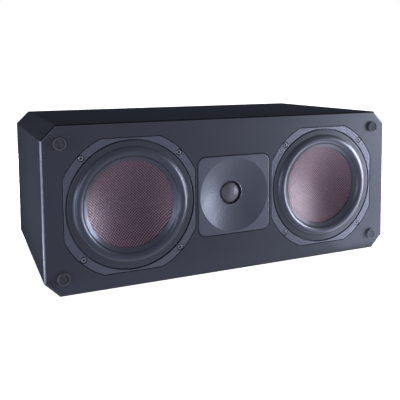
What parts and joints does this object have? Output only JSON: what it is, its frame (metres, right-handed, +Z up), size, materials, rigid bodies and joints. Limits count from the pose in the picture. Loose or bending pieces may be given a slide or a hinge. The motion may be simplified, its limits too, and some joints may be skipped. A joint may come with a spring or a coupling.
{
  "type": "wall speaker",
  "caption": "Wide wall speaker: a dark octagonal box with woven dish woofers either side of a dished dome tweeter, grille pegs at the corners and rear binding posts.",
  "frame": {"origin": "centre of the flat underside of the cabinet", "axes": "+Z up, the front faces -Y, +X along the length of the cabinet to the right as seen from the front"},
  "size_m": [0.47, 0.2606, 0.195],
  "materials": {
    "cabinet_paint": "satin",
    "raw_board": "matte",
    "peg_rubber": "matte",
    "basket_coat": "satin",
    "suspension_rubber": "matte",
    "gasket_foam": "matte",
    "woven_fibre": "satin",
    "coil_wire": "satin",
    "spider_cloth": "matte",
    "motor_steel": "satin",
    "ferrite": "matte",
    "black_screw": "satin",
    "guide_plastic": "satin",
    "dome_cloth": "satin",
    "black_plastic": "matte",
    "plated_brass": "polished",
    "red_plastic": "gloss",
    "nut_black": "gloss",
    "zinc_steel": "satin",
    "circuit_board": "satin",
    "copper_coil": "satin",
    "film_capacitor": "gloss",
    "cement_resistor": "matte",
    "wadding": "matte"
  },
  "bodies": {
    "cabinet": {"cabinet_shell": "cabinet_paint", "front_baffle": "cabinet_paint", "rear_panel": "cabinet_paint", "brace_left": "raw_board", "brace_right": "raw_board", "grille_studs": "peg_rubber", "woofer_left_basket": "basket_coat", "woofer_left_gasket": "gasket_foam", "woofer_left_surround": "suspension_rubber", "woofer_left_spider": "spider_cloth", "woofer_left_top_plate": "motor_steel", "woofer_left_magnet": "ferrite", "woofer_left_yoke": "motor_steel", "woofer_left_screws": "black_screw", "woofer_right_basket": "basket_coat", "woofer_right_gasket": "gasket_foam", "woofer_right_surround": "suspension_rubber", "woofer_right_spider": "spider_cloth", "woofer_right_top_plate": "motor_steel", "woofer_right_magnet": "ferrite", "woofer_right_yoke": "motor_steel", "woofer_right_screws": "black_screw", "tweeter_faceplate": "guide_plastic", "tweeter_gasket": "gasket_foam", "tweeter_surround": "suspension_rubber", "tweeter_top_plate": "motor_steel", "tweeter_magnet": "ferrite", "tweeter_yoke": "motor_steel", "tweeter_rear_chamber": "black_plastic", "tweeter_screws": "zinc_steel", "terminal_cup": "black_plastic", "terminal_screws": "black_screw", "post_lock_nuts": "zinc_steel", "wall_inserts": "zinc_steel", "binding_post_positive": "plated_brass", "binding_post_negative": "plated_brass", "crossover_board": "circuit_board", "board_spacers": "zinc_steel", "board_screws": "zinc_steel", "inductor_low": "copper_coil", "inductor_high": "copper_coil", "capacitor_low": "film_capacitor", "capacitor_high": "film_capacitor", "resistor": "cement_resistor", "damping_left": "wadding", "damping_right": "wadding"},
    "woofer_left_diaphragm": {"woofer_left_cone": "woven_fibre", "woofer_left_voice_coil": "coil_wire"},
    "woofer_right_diaphragm": {"woofer_right_cone": "woven_fibre", "woofer_right_voice_coil": "coil_wire"},
    "tweeter_diaphragm": {"tweeter_dome": "dome_cloth", "tweeter_voice_coil": "coil_wire"},
    "positive_washer": {"post_washer_positive": "plated_brass"},
    "positive_nut": {"post_nut_positive": "red_plastic"},
    "negative_washer": {"post_washer_negative": "plated_brass"},
    "negative_nut": {"post_nut_negative": "nut_black"}
  },
  "joints": [
    {"name": "woofer_left_excursion", "type": "slide", "parent": "cabinet", "child": "woofer_left_diaphragm", "axis": [0, -1, 0], "range_m": [-0.005, 0.005], "stiffness_N_per_m": 1000, "deforming": ["woofer_left_surround", "woofer_left_spider"]},
    {"name": "woofer_right_excursion", "type": "slide", "parent": "cabinet", "child": "woofer_right_diaphragm", "axis": [0, -1, 0], "range_m": [-0.005, 0.005], "stiffness_N_per_m": 1000, "deforming": ["woofer_right_surround", "woofer_right_spider"]},
    {"name": "tweeter_excursion", "type": "slide", "parent": "cabinet", "child": "tweeter_diaphragm", "axis": [0, -1, 0], "range_m": [-0.0005, 0.0005], "stiffness_N_per_m": 100, "deforming": ["tweeter_surround"]},
    {"name": "positive_washer_lift", "type": "slide", "parent": "cabinet", "child": "positive_washer", "axis": [0, 1, 0], "range_m": [0, 0.005]},
    {"name": "positive_nut_turn", "type": "hinge", "parent": "positive_washer", "child": "positive_nut", "pos_m": [0.00953, 0.1125, 0.0975], "axis": [0, 1, 0], "range_deg": [0, 1800]},
    {"name": "negative_washer_lift", "type": "slide", "parent": "cabinet", "child": "negative_washer", "axis": [0, 1, 0], "range_m": [0, 0.005]},
    {"name": "negative_nut_turn", "type": "hinge", "parent": "negative_washer", "child": "negative_nut", "pos_m": [-0.00953, 0.1125, 0.0975], "axis": [0, 1, 0], "range_deg": [0, 1800]}
  ],
  "couplings": [
    {"joint": "positive_washer_lift", "follows": "positive_nut_turn", "m_per_rad": 0.00015915},
    {"joint": "negative_washer_lift", "follows": "negative_nut_turn", "m_per_rad": 0.00015915}
  ]
}
